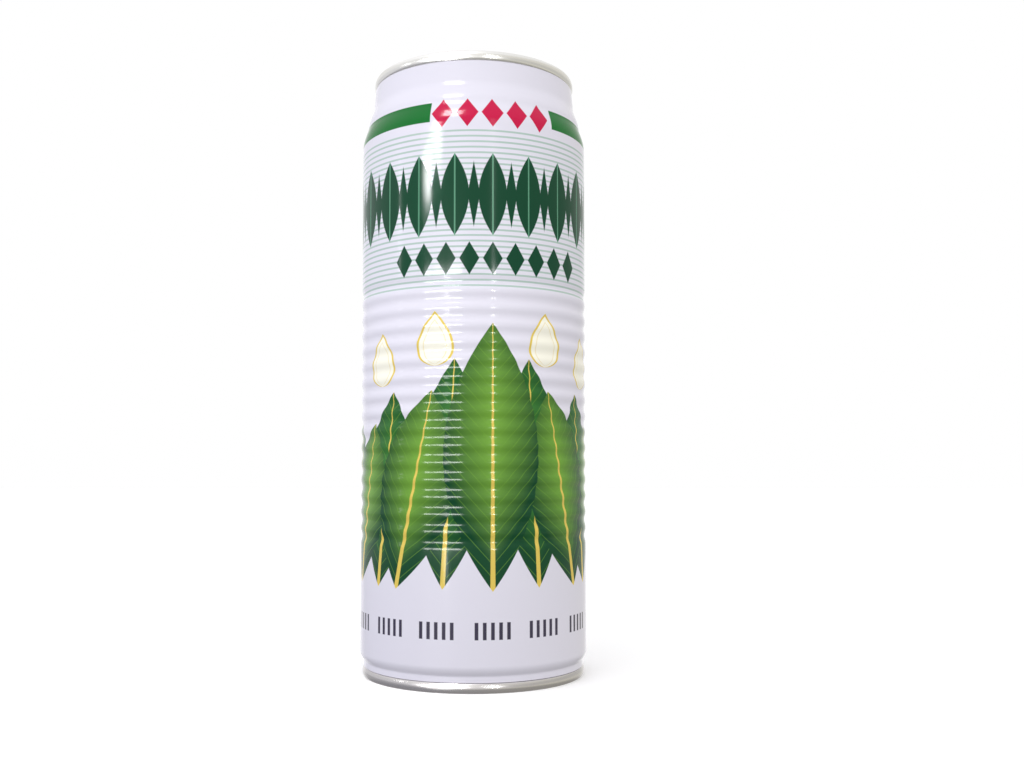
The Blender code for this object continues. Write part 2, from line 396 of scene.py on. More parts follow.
rivet = [(radius, RIVET_HEAD_TOP - depth) for radius, depth in RIVET_CUP]
rivet_corner = (RIVET_HEAD_RADIUS - RIVET_EDGE, RIVET_HEAD_TOP - RIVET_EDGE)
rivet += arc(rivet_corner, RIVET_EDGE, 90, -90, 8)
rivet += [(RIVET_STEM_RADIUS, RIVET_HEAD_FOOT)]
lid_sink = [(radius, CAN_HEIGHT + drop) for radius, drop in sink_outline(TOP_SEAM_RADIUS)]
lid_seam = [(radius, CAN_HEIGHT + drop) for radius, drop in seam_outline(TOP_SEAM_RADIUS)]
panel_edge = lid_sink[0][0]
ring_count = round((panel_edge - RIVET_STEM_RADIUS) / PANEL_RING)
panel = [
    (RIVET_STEM_RADIUS + (panel_edge - RIVET_STEM_RADIUS) * ring / ring_count, PANEL_TOP)
    for ring in range(ring_count)
]
under_count = round(panel_edge / UNDERSIDE_RING)
underside = [(panel_edge * ring / under_count, PANEL_TOP - SHEET) for ring in range(under_count)]
lid_under = lower_face(lid_sink + lid_seam[:1], SHEET)
lid_outline = rivet + panel + lid_sink + lid_seam + lid_under[::-1] + underside[::-1]
lid = turn("lid", lid_outline, LID_SIDES)

# %% [markdown]
# The centre panel is pressed with a die that leaves a sunk field round the mouth and the
# tab, a score line that the mouth tears along, a bead that stiffens the tear panel and a
# dimple that lets a finger under the tab. All of it is one smooth height over the flat
# panel, so each point is moved up or down as the die moves it.

# %% Press the lid's panel
MOUTH_CENTRE = -13.6
MOUTH_HALF_WIDTH = 11.2
MOUTH_HALF_LENGTH = 9.3
FIELD_CENTRE = -1.9
FIELD_HALF_LENGTH = 22.3
FIELD_HALF_WIDTH = 13.6
FIELD_TAPER = 0.1
FIELD_DEPTH = 0.45
FIELD_SLOPE = 0.9
SCORE_DEPTH = 0.14
SCORE_WIDTH = 0.22
TEAR_PANEL_RISE = 0.1
TEAR_PANEL_START = 0.2
TEAR_PANEL_SLOPE = 0.8
TEAR_BEAD_RISE = 0.3
TEAR_BEAD_PLACE = 2.6
TEAR_BEAD_WIDTH = 0.75
DIMPLE_CENTRE = 14.4
DIMPLE_RADIUS = 6.6
DIMPLE_DEPTH = 0.75
DIMPLE_SLOPE = 0.8
COLLAR_RISE = 0.3
COLLAR_RADIUS = 4.2
COLLAR_SLOPE = 1.6
SKIN = 0.01


def smooth_step(share):
    share = np.clip(share, 0.0, 1.0)
    return share * share * (3 - 2 * share)


def egg_distance(x, y, centre, half_width, half_length, squareness=2.3):
    """Roughly how far in mm a place lies inside a rounded outline, negative outside it."""
    across = np.abs(x / half_width) ** squareness
    along = np.abs((y - centre) / half_length) ** squareness
    return (1 - (across + along) ** (1 / squareness)) * np.minimum(half_width, half_length)


def pressed_height(x, y):
    """How far the die moves the panel at a place, all in mm."""
    field = egg_distance(x, y, FIELD_CENTRE, FIELD_HALF_WIDTH - FIELD_TAPER * y, FIELD_HALF_LENGTH)
    height = -FIELD_DEPTH * smooth_step(field / FIELD_SLOPE)
    mouth = egg_distance(x, y, MOUTH_CENTRE, MOUTH_HALF_WIDTH, MOUTH_HALF_LENGTH)
    height -= SCORE_DEPTH * np.exp(-((mouth / SCORE_WIDTH) ** 2))
    height += TEAR_PANEL_RISE * smooth_step((mouth - TEAR_PANEL_START) / TEAR_PANEL_SLOPE)
    height += TEAR_BEAD_RISE * np.exp(-(((mouth - TEAR_BEAD_PLACE) / TEAR_BEAD_WIDTH) ** 2))
    dimple = np.hypot(x, y - DIMPLE_CENTRE) / DIMPLE_RADIUS
    height -= DIMPLE_DEPTH * smooth_step((1 - dimple) / DIMPLE_SLOPE)
    height += COLLAR_RISE * smooth_step((COLLAR_RADIUS - np.hypot(x, y)) / COLLAR_SLOPE)
    return height


places = np.empty(len(lid.data.vertices) * 3)
lid.data.vertices.foreach_get("co", places)
places = places.reshape(-1, 3)
radii = np.hypot(places[:, 0], places[:, 1]) / MM
heights = places[:, 2] / MM
on_panel = (radii > RIVET_STEM_RADIUS - SKIN) & (radii < panel_edge)
on_panel &= (heights < PANEL_TOP + SKIN) & (heights > PANEL_TOP - SHEET - SKIN)
pressing = pressed_height(places[:, 0] / MM, places[:, 1] / MM)
places[on_panel, 2] += pressing[on_panel] * MM
lid.data.vertices.foreach_set("co", places.ravel())
lid.data.update()
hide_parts("top_end")
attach(lid, "root")
print("panel pressed from", round(float(pressing[on_panel].min()), 2), "mm")

# %% [markdown]
# The bottom end is the same kind of disc without a mouth. A ring and a step are pressed
# into its panel, which let it dome outwards and back as the can is heated and cools.

# %% Turn the bottom end
BASE_RING_RADIUS = 24.2
BASE_STEP_RADIUS = 20.2
BASE_STEP_HEIGHT = 0.6
BASE_STEP_SLOPE = 1.2
BASE_RING_HEIGHT = 0.5
BASE_RING_WIDTH = 0.9
BASE_PANEL_RING = 0.6
BASE_SIDES = 192
BASE_PANEL = COUNTERSINK_DEPTH - PANEL_RISE


def base_height(radius):
    """The outer face of the base panel, in mm above the plane that the can stands on."""
    step = smooth_step((BASE_STEP_RADIUS - radius) / BASE_STEP_SLOPE)
    ring = math.exp(-(((radius - BASE_RING_RADIUS) / BASE_RING_WIDTH) ** 2))
    return BASE_PANEL + BASE_STEP_HEIGHT * step + BASE_RING_HEIGHT * ring


base_sink = [(radius, -drop) for radius, drop in sink_outline(BOTTOM_SEAM_RADIUS)]
base_seam = [(radius, -drop) for radius, drop in seam_outline(BOTTOM_SEAM_RADIUS)]
base_edge = base_sink[0][0]
base_count = round(base_edge / BASE_PANEL_RING)
base_radii = [base_edge * ring / base_count for ring in range(base_count)]
base_outside = [(radius, base_height(radius)) for radius in base_radii] + base_sink + base_seam
base_inside = [(radius, base_height(radius) + SHEET) for radius in base_radii]
base_inside += lower_face(base_sink + base_seam[:1], -SHEET)
base_end = turn("base_end", base_inside + base_outside[::-1], BASE_SIDES)
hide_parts("bottom_end")
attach(base_end, "root")

# %% [markdown]
# The tab is a strip of sheet whose edges are curled under, which makes it stiff and safe
# to the finger. Its middle is sunk between the curls, a tongue round the rivet is cut free
# on three sides, and a hole at the heel takes the fingertip. Two loops are bridged to a
# ring of faces, because that is how a hole comes out clean without any cutting.

# %% Helpers for the tab
TAB_HALF_WIDTH = 8.0
TAB_NOSE = 7.2
TAB_HEEL = 17.4
TAB_FOOT = PANEL_TOP + 0.35
TAB_THICKNESS = 1.2
TAB_CURL = 1.25
TAB_SUNK = 0.42
TAB_SLOPE = 0.25
HOLE_CENTRE = 11.2
HOLE_HALF_WIDTH = 5.2
HOLE_HALF_LENGTH = 3.6
LOOP_POINTS = 96
LOOP_START_RADIUS = 5.0
FACING_UP = 0.9


def rounded_loop(half_width, nose, heel, centre, power=2.5):
    """Points of a rounded outline, in mm, squarer than an ellipse."""
    points = []
    for step in range(LOOP_POINTS):
        angle = math.tau * step / LOOP_POINTS
        across = math.copysign(abs(math.cos(angle)) ** (2 / power), math.cos(angle))
        along = math.copysign(abs(math.sin(angle)) ** (2 / power), math.sin(angle))
        points.append((half_width * across, centre + along * (heel if along > 0 else nose)))
    return points


def add_loop(points, height):
    """Adds a circle in edit mode and moves its points onto an outline, which stays selected."""
    bpy.ops.mesh.select_all(action="DESELECT")
    bpy.ops.mesh.primitive_circle_add(vertices=len(points), radius=LOOP_START_RADIUS * MM)
    bpy.ops.object.mode_set(mode="OBJECT")
    mesh = bpy.context.active_object.data
    ring = [vertex for vertex in mesh.vertices if vertex.select]
    ring.sort(key=lambda vertex: math.atan2(vertex.co.y, vertex.co.x) % math.tau)
    for vertex, (x, y) in zip(ring, points):
        vertex.co = (x * MM, y * MM, height * MM)
    bpy.ops.object.mode_set(mode="EDIT")


def select_faces(piece, wanted):
    """Selects in edit mode the faces that a test of their middle and normal lets through."""
    bpy.ops.mesh.select_mode(type="FACE")
    bpy.ops.mesh.select_all(action="DESELECT")
    bpy.ops.object.mode_set(mode="OBJECT")
    for face in piece.data.polygons:
        face.select = wanted(face.center, face.normal)
    bpy.ops.object.mode_set(mode="EDIT")


print("tab length in mm:", TAB_NOSE + TAB_HEEL)

# %% [markdown]
# The tab starts as two loops of points, its outline and its finger hole, that are bridged
# to one ring of faces. The ring is extruded down to the tab's thickness. Then its top is
# inset twice, first by the width of the curl and then down the slope inside it.

# %% Model the tab
bpy.ops.object.select_all(action="DESELECT")
bpy.ops.mesh.primitive_plane_add(size=MM)
tab = bpy.context.active_object
tab.name = "pull_ring"
tab.data.name = "pull_ring"
bpy.ops.object.mode_set(mode="EDIT")
bpy.ops.mesh.select_mode(type="FACE")
bpy.ops.mesh.delete(type="VERT")
bpy.ops.mesh.select_mode(type="VERT")
tab_top = TAB_FOOT + TAB_THICKNESS
add_loop(rounded_loop(TAB_HALF_WIDTH, TAB_NOSE, TAB_HEEL, 0.0), tab_top)
add_loop(rounded_loop(HOLE_HALF_WIDTH, HOLE_HALF_LENGTH, HOLE_HALF_LENGTH, HOLE_CENTRE), tab_top)
bpy.ops.mesh.select_all(action="SELECT")
bpy.ops.mesh.bridge_edge_loops()
bpy.ops.mesh.select_all(action="SELECT")
bpy.ops.mesh.normals_make_consistent(inside=False)
down = (0.0, 0.0, -TAB_THICKNESS * MM)
bpy.ops.mesh.extrude_region_move(TRANSFORM_OT_translate={"value": down})
bpy.ops.mesh.select_all(action="SELECT")
bpy.ops.mesh.normals_make_consistent(inside=False)
select_faces(tab, lambda middle, normal: normal.z > FACING_UP)
bpy.ops.mesh.inset(thickness=TAB_CURL * MM, depth=0.0)
bpy.ops.mesh.inset(thickness=TAB_SLOPE * MM, depth=-TAB_SUNK * MM)
bpy.ops.object.mode_set(mode="OBJECT")
print("tab before its edges are rounded:", len(tab.data.polygons), "faces")

# %% [markdown]
# A Bevel modifier rounds the tab's edges, as the curl does. Closed shapes are then cut
# from it with the Boolean modifier: first a round pocket that thins the sheet round the
# rivet, and then the rivet's hole.

# %% Round the tab and cut its pocket
TAB_ROUNDING = 0.42
TAB_ROUNDING_STEPS = 4
TAB_ROUNDING_ANGLE = 40
POCKET_RADIUS = 4.6
POCKET_HEIGHT = 2.0
POCKET_ROUNDING = 0.3
POCKET_SIDES = 64
RIVET_CLEARANCE = 0.3
RIVET_HOLE_HEIGHT = 4.0
RIVET_HOLE_SIDES = 32
WEB_THICKNESS = 0.45


def apply_modifier(piece, name, kind, **settings):
    """Adds a modifier with its settings and applies it."""
    select_only(piece)
    modifier = piece.modifiers.new(name, kind)
    for key, value in settings.items():
        setattr(modifier, key, value)
    bpy.ops.object.modifier_apply(modifier=modifier.name)


def cut_away(piece, cutter):
    """Cuts one closed shape from another and removes the cutter."""
    apply_modifier(piece, "cut", "BOOLEAN", operation="DIFFERENCE", solver="EXACT", object=cutter)
    bpy.data.objects.remove(cutter, do_unlink=True)


apply_modifier(
    tab, "curl", "BEVEL", width=TAB_ROUNDING * MM, segments=TAB_ROUNDING_STEPS,
    limit_method="ANGLE", angle_limit=math.radians(TAB_ROUNDING_ANGLE),
)
web_top = TAB_FOOT + WEB_THICKNESS
bpy.ops.object.select_all(action="DESELECT")
pocket_place = (0.0, 0.0, (web_top + POCKET_HEIGHT / 2) * MM)
bpy.ops.mesh.primitive_cylinder_add(
    vertices=POCKET_SIDES, radius=POCKET_RADIUS * MM, depth=POCKET_HEIGHT * MM,
    location=pocket_place,
)
pocket = bpy.context.active_object
bpy.ops.object.transform_apply(location=True)
apply_modifier(
    pocket, "edge", "BEVEL", width=POCKET_ROUNDING * MM, segments=3, limit_method="ANGLE"
)
cut_away(tab, pocket)

bpy.ops.object.select_all(action="DESELECT")
bpy.ops.mesh.primitive_cylinder_add(
    vertices=RIVET_HOLE_SIDES, radius=(RIVET_STEM_RADIUS + RIVET_CLEARANCE) * MM,
    depth=RIVET_HOLE_HEIGHT * MM, location=(0, 0, TAB_FOOT * MM),
)
rivet_hole = bpy.context.active_object
bpy.ops.object.transform_apply(location=True)
cut_away(tab, rivet_hole)
print("tab with its rivet hole:", len(tab.data.polygons), "faces")

# %% [markdown]
# A slot runs most of the way round the rivet, and what it leaves standing is the tongue
# that the tab hinges on. Its cutter is a small upright plane, set at the slot's radius,
# turned to where the slot starts, and spun to where it ends.

# %% Cut the tongue free
SLOT_RADIUS = 3.75
SLOT_WIDTH = 0.8
SLOT_SWEEP = 250
SLOT_HEIGHT = 2.0
SLOT_STEPS = 60
CUT_SHARP_ANGLE = 35

bpy.ops.object.select_all(action="DESELECT")
bpy.ops.mesh.primitive_plane_add(size=1.0)
slot = bpy.context.active_object
bpy.ops.object.mode_set(mode="EDIT")
bpy.ops.transform.resize(value=(SLOT_WIDTH * MM, SLOT_HEIGHT * MM, 1.0))
bpy.ops.transform.rotate(value=math.radians(90), orient_axis="X", center_override=(0, 0, 0))
bpy.ops.transform.translate(value=(SLOT_RADIUS * MM, 0.0, TAB_FOOT * MM))
slot_start = math.radians((360 - SLOT_SWEEP) / 2 + 90)
bpy.ops.mesh.spin(steps=1, angle=slot_start, center=(0, 0, 0), axis=(0, 0, 1), dupli=True)
bpy.ops.mesh.select_all(action="INVERT")
bpy.ops.mesh.delete(type="VERT")
bpy.ops.mesh.select_all(action="SELECT")
sweep = math.radians(SLOT_SWEEP)
bpy.ops.mesh.spin(steps=SLOT_STEPS, angle=sweep, center=(0, 0, 0), axis=(0, 0, 1))
bpy.ops.mesh.select_all(action="SELECT")
bpy.ops.mesh.normals_make_consistent(inside=False)
bpy.ops.object.mode_set(mode="OBJECT")
print("slot cutter:", len(slot.data.polygons), "faces")
cut_away(tab, slot)
select_only(tab)
bpy.ops.object.shade_smooth_by_angle(angle=math.radians(CUT_SHARP_ANGLE))
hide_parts("pull_tab")
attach(tab, "root")
print("tab:", len(tab.data.polygons), "faces")

# %% [markdown]
# The rolled sheet is closed by a weld down one side. The print stops short of it, so a
# narrow strip of bare tinplate shows, with the weld as a low ridge along its middle. The
# strip follows the wall over every bead, so it is spun from the wall's own outline.

# %% Weld the side seam
WELD_BEARING = math.radians(9.0)
WELD_HALF_WIDTH = 1.9
WELD_STEPS = 14
STRIP_LIFT = 0.04
STRIP_THICKNESS = 0.12
RIDGE_HEIGHT = 0.1
RIDGE_WIDTH = 0.45

strip_heights = [height for height in wall_heights if WALL_TOP > height > WALL_FOOT]
strip_outline = [(wall_radius(height) + STRIP_LIFT, height) for height in strip_heights]
sweep = 2 * WELD_HALF_WIDTH / WALL_RADIUS
weld = draw_outline("side_seam", strip_outline, WELD_BEARING - sweep / 2)
bpy.ops.object.mode_set(mode="EDIT")
bpy.ops.mesh.select_all(action="SELECT")
bpy.ops.mesh.spin(steps=WELD_STEPS, angle=sweep, center=(0, 0, 0), axis=(0, 0, -1))
bpy.ops.mesh.select_all(action="SELECT")
bpy.ops.mesh.remove_doubles(threshold=MERGE_GAP * MM)
bpy.ops.mesh.normals_make_consistent(inside=False)
bpy.ops.object.mode_set(mode="OBJECT")
bearings = [math.degrees(math.atan2(vertex.co.y, vertex.co.x)) for vertex in weld.data.vertices]
print("side seam bearings from", round(min(bearings), 2), "to", round(max(bearings), 2))

# %% [markdown]
# The strip is still a skin. The weld's ridge is raised along its middle, and then the skin
# gets the thickness of the sheet inwards, so that its edges sink into the wall.

# %% Close the side seam
for vertex in weld.data.vertices:
    apart = (math.atan2(vertex.co.y, vertex.co.x) - WELD_BEARING) * WALL_RADIUS
    rise = RIDGE_HEIGHT * math.exp(-((apart / RIDGE_WIDTH) ** 2)) * MM
    outwards = Vector((vertex.co.x, vertex.co.y, 0.0)).normalized()
    vertex.co += outwards * rise
apply_modifier(weld, "sheet", "SOLIDIFY", thickness=STRIP_THICKNESS * MM, offset=-1.0)
select_only(weld)
bpy.ops.object.shade_smooth_by_angle(angle=math.radians(CUT_SHARP_ANGLE))
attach(weld, "root")
print("side seam faces:", len(weld.data.polygons))

# %% [markdown]
# Each finish is built from nodes. One function turns a printer's sRGB hex value to the
# linear colour that Blender works in, and one adds a node, sets it up and links it.

# %% Helpers for the finishes
def linear(hex_value):
    """An sRGB hex colour as linear red, green, blue and alpha."""
    shares = [int(hex_value[start : start + 2], 16) / 255 for start in (1, 3, 5)]
    lit = [s / 12.92 if s <= 0.04045 else ((s + 0.055) / 1.055) ** 2.4 for s in shares]
    return (*lit, 1.0)


def add_node(tree, kind, *inputs, **settings):
    """Adds a node, sets it up, fills or links its inputs in order, and returns its first output."""
    node = tree.nodes.new("ShaderNode" + kind)
    for key, value in settings.items():
        setattr(node, key, value)
    sockets = [socket for socket in node.inputs if socket.enabled]
    for socket, value in zip(sockets, inputs):
        if isinstance(value, bpy.types.NodeSocket):
            tree.links.new(value, socket)
        elif value is not None:
            socket.default_value = value
    shown = [socket for socket in node.outputs if socket.enabled]
    return shown[0] if shown else None


def new_finish(name, **sockets):
    """A material with a Principled shader whose uniform values are set on its own sockets."""
    finish = bpy.data.materials.new(name)
    finish.use_nodes = True
    shader = finish.node_tree.nodes["Principled BSDF"]
    for key, value in sockets.items():
        shader.inputs[key.replace("_", " ").title()].default_value = value
    return finish, finish.node_tree, shader


# %% [markdown]
# Offset print on tinplate is a stack of flat colours under one clear lacquer. The ink is
# matt and even, and the lacquer gives the gloss, so the colours differ and the gloss
# doesn't. The layout repeats once on each half of the can. Its motifs are plain shapes:
# a band, fine stripes, lozenges, leaves and drops. Every shape is a distance in
# millimetres from an edge on the unrolled sheet, made a mask by a short soft ramp.

# %% Lay out the print's plain shapes
LABEL_BEARING = 9.0
INK_EDGE = 0.14
# The curve of a drop is 0.385 at its widest, and this factor makes that its half width.
DROP_FULLNESS = 2.6
SHEET_WHITE = "#DCDAE5"

INKS = {
    "band green": "#0A6B28",
    "red": "#C21044",
    "stripe": "#A9BFB6",
    "dark green": "#07422A",
    "rib green": "#5B9477",
    "navy": "#3F3B4C",
    "leaf dark": "#0B4426",
    "leaf mid": "#35752B",
    "leaf light": "#70A238",
    "cream": "#F3F1E2",
    "yellow": "#DCC25A",
}


def inked(tree, inside):
    """The share of ink at a distance in mm inside a shape's edge."""
    ramp = 1 / INK_EDGE
    return add_node(tree, "Math", inside, ramp, 0.5, operation="MULTIPLY_ADD", use_clamp=True)


def past(tree, value, middle):
    """How far a value lies past a middle, negative before it."""
    return add_node(tree, "Math", value, middle, operation="SUBTRACT")


def distance_from(tree, value, middle):
    """How far a value lies from a middle, either way."""
    return add_node(tree, "Math", past(tree, value, middle), operation="ABSOLUTE")


def inside_band(tree, value, low, high):
    """How far a value lies inside a band, in mm."""
    apart = distance_from(tree, value, (low + high) / 2)
    return add_node(tree, "Math", (high - low) / 2, apart, operation="SUBTRACT")


def inside_both(tree, first, second):
    return add_node(tree, "Math", first, second, operation="MINIMUM")


def repeated(tree, value, pitch):
    """The place within one repeat, in mm from its middle."""
    return add_node(tree, "Math", value, pitch / 2, -pitch / 2, operation="WRAP")


def inside_lozenge(tree, across, along, half_width, half_length):
    """How far a place lies inside a lozenge, in mm."""
    wide = add_node(tree, "Math", distance_from(tree, across, 0.0), half_width, operation="DIVIDE")
    long = add_node(tree, "Math", distance_from(tree, along, 0.0), half_length, operation="DIVIDE")
    reach = add_node(tree, "Math", wide, long, operation="ADD")
    scale = half_width * half_length / math.hypot(half_width, half_length)
    return add_node(tree, "Math", reach, -scale, scale, operation="MULTIPLY_ADD")


def inside_leaf(tree, across, along, half_width, half_length):
    """How far a place lies inside a leaf that is pointed at both ends, in mm."""
    share = add_node(tree, "Math", along, half_length, operation="DIVIDE")
    square = add_node(tree, "Math", share, share, operation="MULTIPLY")
    width = add_node(tree, "Math", square, -half_width, half_width, operation="MULTIPLY_ADD")
    return add_node(tree, "Math", width, distance_from(tree, across, 0.0), operation="SUBTRACT")


def inside_drop(tree, across, along, half_width, length):
    """How far a place lies inside a drop, round at its foot and pointed at its top."""
    share = add_node(tree, "Math", along, 1 / length, 0.5, operation="MULTIPLY_ADD", use_clamp=True)
    root = add_node(tree, "Math", share, operation="SQRT")
    rest = add_node(tree, "Math", 1.0, share, operation="SUBTRACT")
    shape = add_node(tree, "Math", root, rest, operation="MULTIPLY")
    fullness = DROP_FULLNESS * half_width
    width = add_node(tree, "Math", shape, fullness, -INK_EDGE, operation="MULTIPLY_ADD")
    return add_node(tree, "Math", width, distance_from(tree, across, 0.0), operation="SUBTRACT")


def overprint(tree, under, ink, share):
    """One colour printed over another where the share says."""
    ink = linear(ink) if isinstance(ink, str) else ink
    return add_node(tree, "Mix", share, under, ink, data_type="RGBA")


print("inks:", len(INKS))

# %% [markdown]
# A node sees a point's place on the piece and not on the flat sheet. So the place is
# turned to a bearing round the can and a height up it. The bearing wraps at every half
# turn, because the label repeats on the back.

# %% Unroll the coordinates
# Lacquered tinplate shows its even matt ink first, and then thin sharp lights on the film over it.
print_finish, print_tree, print_shader = new_finish("lacquered tinplate", roughness=0.2)
place = add_node(print_tree, "TexCoord").node.outputs["Object"]
split = add_node(print_tree, "SeparateXYZ", place).node
frontwards = add_node(print_tree, "Math", split.outputs["Y"], -1.0, operation="MULTIPLY")
bearing = add_node(print_tree, "Math", split.outputs["X"], frontwards, operation="ARCTAN2")
off_label = past(print_tree, bearing, math.radians(LABEL_BEARING))
half_turn = add_node(print_tree, "Math", off_label, math.pi / 2, -math.pi / 2, operation="WRAP")
across_label = add_node(print_tree, "Math", half_turn, WALL_RADIUS, operation="MULTIPLY")
up_label = add_node(print_tree, "Math", split.outputs["Z"], 1 / MM, operation="MULTIPLY")
print("label half width in mm:", round(WALL_RADIUS * math.pi / 2, 1))

# %% [markdown]
# The inks go on one after another over the white ground, as they do in the press. Each
# shape says how far inside it a place lies, and `inked` turns that to a share of ink.
# `repeated` folds the sheet into equal steps, so that one lozenge becomes a whole row.

# %% Print the stripes, the band and the red row
STRIPE_PITCH = 1.51
STRIPE_WIDTH = 0.5
STRIPE_MIDDLE = 151.4
STRIPES_LOW = 108.6
STRIPES_HIGH = 151.7
BAND_LOW = 154.3
BAND_HIGH = 160.0
GAP_LEFT = -17.5
GAP_RIGHT = 18.5
RED_PITCH = 7.0
RED_COUNT = 5
RED_MIDDLE = 156.6
RED_HALF_WIDTH = 3.1
RED_HALF_LENGTH = 4.1

tree = print_tree
ink = linear(SHEET_WHITE)
stripe_place = repeated(tree, past(tree, up_label, STRIPE_MIDDLE), STRIPE_PITCH)
stripes = inside_band(tree, stripe_place, -STRIPE_WIDTH / 2, STRIPE_WIDTH / 2)
stripes = inside_both(tree, stripes, inside_band(tree, up_label, STRIPES_LOW, STRIPES_HIGH))
ink = overprint(tree, ink, INKS["stripe"], inked(tree, stripes))

band = inside_band(tree, up_label, BAND_LOW, BAND_HIGH)
gap = inside_band(tree, across_label, GAP_LEFT, GAP_RIGHT)
beside_gap = add_node(tree, "Math", gap, -1.0, operation="MULTIPLY")
ink = overprint(tree, ink, INKS["band green"], inked(tree, inside_both(tree, band, beside_gap)))

red_across = repeated(tree, across_label, RED_PITCH)
red_along = past(tree, up_label, RED_MIDDLE)
red = inside_lozenge(tree, red_across, red_along, RED_HALF_WIDTH, RED_HALF_LENGTH)
red_end = RED_COUNT * RED_PITCH / 2
red = inside_both(tree, red, inside_band(tree, across_label, -red_end, red_end))
ink = overprint(tree, ink, INKS["red"], inked(tree, red))
print("nodes so far:", len(tree.nodes))

# %% [markdown]
# The main row is a dark leaf with a pale rib, and a slim spike stands between each two.
# Its step divides half of the way round, so that the row closes on itself. Small
# lozenges stand below it, and at the foot short dashes, which are one long row of
# strips with gaps left between the groups.

# %% Print the green rows and the dashes
TALL_COUNT = 10
TALL_PITCH = math.pi * WALL_RADIUS / TALL_COUNT
TALL_MIDDLE = 134.0
TALL_HALF_WIDTH = 3.9
TALL_HALF_LENGTH = 11.2
TALL_RIB_HALF_WIDTH = 0.2
SPIKE_HALF_WIDTH = 1.7
SPIKE_HALF_LENGTH = 9.0
SMALL_PITCH = 6.4
SMALL_COUNT = 9
SMALL_MIDDLE = 116.5
SMALL_HALF_WIDTH = 2.7
SMALL_HALF_LENGTH = 4.5
DASH_PITCH = 2.2
DASH_WIDTH = 1.0
DASHES_LOW = 14.3
DASHES_HIGH = 18.9
GROUP_DASHES = 7
GAP_DASHES = 2

tall_across = repeated(tree, across_label, TALL_PITCH)
tall_along = past(tree, up_label, TALL_MIDDLE)
tall = inside_leaf(tree, tall_across, tall_along, TALL_HALF_WIDTH, TALL_HALF_LENGTH)
ink = overprint(tree, ink, INKS["dark green"], inked(tree, tall))
rib = inside_band(tree, tall_across, -TALL_RIB_HALF_WIDTH, TALL_RIB_HALF_WIDTH)
rib = inside_both(tree, rib, tall)
ink = overprint(tree, ink, INKS["rib green"], inked(tree, rib))
between_leaves = add_node(tree, "Math", across_label, TALL_PITCH / 2, operation="ADD")
spike_across = repeated(tree, between_leaves, TALL_PITCH)
spike = inside_lozenge(tree, spike_across, tall_along, SPIKE_HALF_WIDTH, SPIKE_HALF_LENGTH)
ink = overprint(tree, ink, INKS["dark green"], inked(tree, spike))

small_across = repeated(tree, across_label, SMALL_PITCH)
small_along = past(tree, up_label, SMALL_MIDDLE)
small = inside_lozenge(tree, small_across, small_along, SMALL_HALF_WIDTH, SMALL_HALF_LENGTH)
small_end = SMALL_COUNT * SMALL_PITCH / 2
small = inside_both(tree, small, inside_band(tree, across_label, -small_end, small_end))
ink = overprint(tree, ink, INKS["dark green"], inked(tree, small))

dash_across = repeated(tree, across_label, DASH_PITCH)
dashes = inside_band(tree, dash_across, -DASH_WIDTH / 2, DASH_WIDTH / 2)
dashes = inside_both(tree, dashes, inside_band(tree, up_label, DASHES_LOW, DASHES_HIGH))
dash_group = repeated(tree, across_label, GROUP_DASHES * DASH_PITCH)
group_half = (GROUP_DASHES - GAP_DASHES) * DASH_PITCH / 2
dashes = inside_both(tree, dashes, inside_band(tree, dash_group, -group_half, group_half))
ink = overprint(tree, ink, INKS["navy"], inked(tree, dashes))
print("nodes with the rows:", len(tree.nodes))

# %% [markdown]
# The lower half of the label is a hedge of large leaves with drops above it. Both halves
# of the label are alike, so the place across it is folded along its middle and each motif
# is drawn once. A leaf is drawn in its own frame: a Mapping node puts its middle on the
# sheet and leans it. Its blade is deep at the foot and along the edges and lighter towards
# the tip, and a pale rib and slanting veins cross it.

# %% Print the leaves and drops
# Each leaf has its place across and up, its lean, its half width and its half length.
BACK_LEAVES = [
    (50.5, 50.0, -2, 9.0, 23.0),
    (32.5, 54.0, -7, 10.5, 27.0),
    (12.0, 58.5, -3, 10.5, 31.0),
]
FRONT_LEAVES = [
    (43.0, 50.0, -13, 10.0, 23.0),
    (22.5, 54.0, -12, 12.0, 27.5),
    (0.0, 63.0, 0, 13.5, 36.0),
]
# Each drop has its place across and up, its half width and its length.
DROPS = [(16.0, 95.0, 5.6, 15.0), (34.5, 90.0, 5.6, 15.0)]
LEAF_MIDDLE_LIGHT = 0.95
LEAF_TIP_LIGHT = 0.4
LEAF_LEAST_LIGHT = 0.02
LEAF_RIB_HALF_WIDTH = 0.4
LEAF_RIB_TAPER = 0.3
VEIN_PITCH = 3.6
VEIN_SLANT = 1.1
VEIN_HALF_WIDTH = 0.16
VEIN_SHARE = 0.4
DROP_BORDER = 0.7
DROP_LINE = (2.0, 2.25)
DROP_LINE_SHARE = 0.5

folded = distance_from(tree, across_label, 0.0)
flat_place = add_node(tree, "CombineXYZ", folded, up_label, 0.0)


def own_frame(tree, across, up, lean):
    """Places across and along a motif, in mm from its middle."""
    leaning = (0.0, 0.0, math.radians(-lean))
    moved = add_node(tree, "Mapping", flat_place, (across, up, 0.0), leaning, vector_type="TEXTURE")
    parts = add_node(tree, "SeparateXYZ", moved).node
    return parts.outputs["X"], parts.outputs["Y"]


